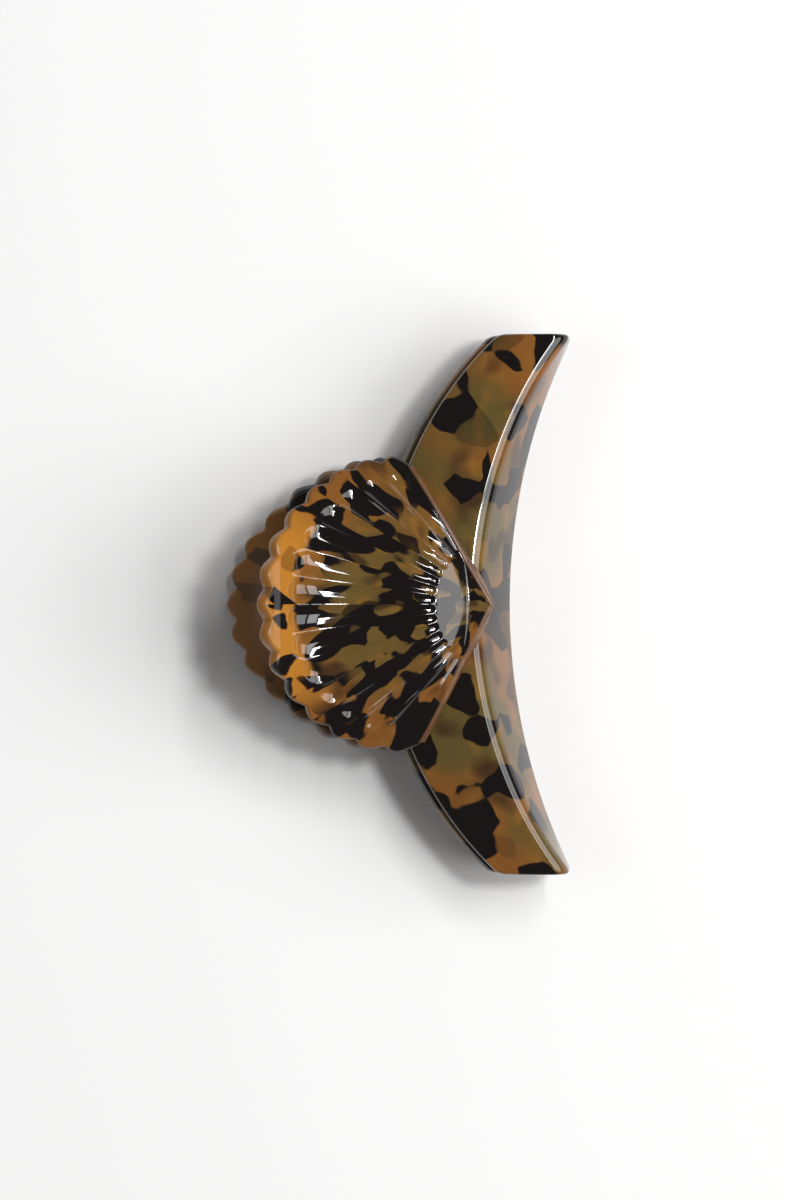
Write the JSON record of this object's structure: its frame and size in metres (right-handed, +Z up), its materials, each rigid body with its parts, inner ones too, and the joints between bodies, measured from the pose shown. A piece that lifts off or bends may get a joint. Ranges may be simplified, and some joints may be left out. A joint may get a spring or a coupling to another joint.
{
  "type": "claw clip",
  "caption": "Sprung hair claw with two toothed crescent jaws and scallop-shell thumb plates in glossy tortoiseshell plastic.",
  "frame": {"origin": "On the surface that the clip lies on, under the middle of its bounding box, with the closed clip in its resting pose on one thumb plate.", "axes": "+Y runs along the hinge pin and the span of the jaws; +X points from the thumb plates to the teeth, level; +Z is up, and the upper half's thumb plate faces it, with the handle end tilted up."},
  "size_m": [0.064, 0.1, 0.044],
  "materials": {
    "tortoiseshell": "glossy translucent tortoiseshell",
    "shell_tortoiseshell": "glossy translucent tortoiseshell, moulded in flutes",
    "pin_steel": "plain steel",
    "spring_steel": "drawn spring wire"
  },
  "bodies": {
    "lower_half": {"lower_jaw": "tortoiseshell", "lower_shell": "shell_tortoiseshell", "hinge_pin": "pin_steel", "torsion_spring": "spring_steel"},
    "upper_half": {"upper_jaw": "tortoiseshell", "upper_shell": "shell_tortoiseshell"}
  },
  "joints": [
    {"name": "jaw_hinge", "type": "hinge", "parent": "lower_half", "child": "upper_half", "pos_m": [-0.0047, 0, 0.01852], "axis": [0, -1, 0], "range_deg": [0, 57], "stiffness_Nm_per_rad": 0.12, "springref_deg": -57.3, "deforming": ["torsion_spring"]}
  ]
}
